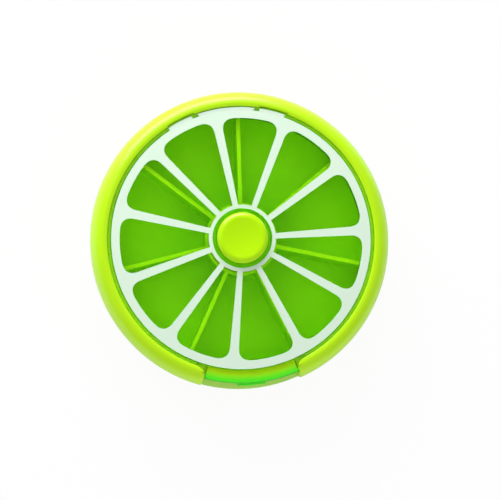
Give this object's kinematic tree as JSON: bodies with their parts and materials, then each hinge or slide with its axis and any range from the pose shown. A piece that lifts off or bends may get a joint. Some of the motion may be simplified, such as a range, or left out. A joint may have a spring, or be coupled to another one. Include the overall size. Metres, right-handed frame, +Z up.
{
  "type": "weekly pill organizer",
  "caption": "Round pill box that looks like a citrus slice: lime shell, clear printed lid, a push button that advances the carousel tray, and a small hinged exit flap.",
  "frame": {"origin": "centre of the foot ring, on the surface that the box stands on", "axes": "+Z up through the button, -Y towards the exit flap"},
  "size_m": [0.09, 0.09, 0.0253],
  "materials": {
    "lime_shell": "glossy opaque lime plastic",
    "lime_button": "glossy opaque lime plastic",
    "lime_tray": "smooth lime plastic",
    "clear_green": "clear green plastic",
    "white_ink": "opaque white print",
    "white_plastic": "natural white slippery plastic",
    "spring_steel": "bright spring steel",
    "screw_steel": "zinc-plated steel"
  },
  "bodies": {
    "base": {"base_shell": "lime_shell", "rim_ring": "lime_shell", "rim_screw_1": "screw_steel", "rim_screw_2": "screw_steel", "rim_screw_3": "screw_steel", "rim_screw_4": "screw_steel", "lid": "clear_green", "slice_print": "white_ink", "spindle": "white_plastic", "center_screw": "screw_steel", "center_washer": "screw_steel", "tray_washer": "white_plastic", "click_spring": "spring_steel", "click_spring_screw": "screw_steel", "return_spring": "spring_steel"},
    "tray": {"tray": "lime_tray"},
    "drive": {"drive_wheel": "white_plastic", "pawl_ring": "white_plastic"},
    "button": {"button_cap": "lime_button", "button_stem": "white_plastic"},
    "flap": {"exit_flap": "clear_green"}
  },
  "joints": [
    {"name": "button_press", "type": "slide", "parent": "base", "child": "button", "axis": [0, 0, -1], "range_m": [0, 0.0028], "stiffness_N_per_m": 600, "springref_m": -0.002, "deforming": ["return_spring"]},
    {"name": "drive_turn", "type": "hinge", "parent": "base", "child": "drive", "pos_m": [0, 0, 0.0101], "axis": [0, 0, 1], "range_deg": [0, 51.43], "deforming": ["pawl_ring"]},
    {"name": "tray_turn", "type": "hinge", "parent": "base", "child": "tray", "pos_m": [0, 0, 0.0052], "axis": [0, 0, 1], "continuous": true, "deforming": ["click_spring", "pawl_ring"]},
    {"name": "flap_hinge", "type": "hinge", "parent": "base", "child": "flap", "pos_m": [0, -0.0397, 0.0198], "axis": [-1, 0, 0], "range_deg": [0, 95]}
  ],
  "couplings": [
    {"joint": "drive_turn", "follows": "button_press", "rad_per_m": 320.57}
  ]
}
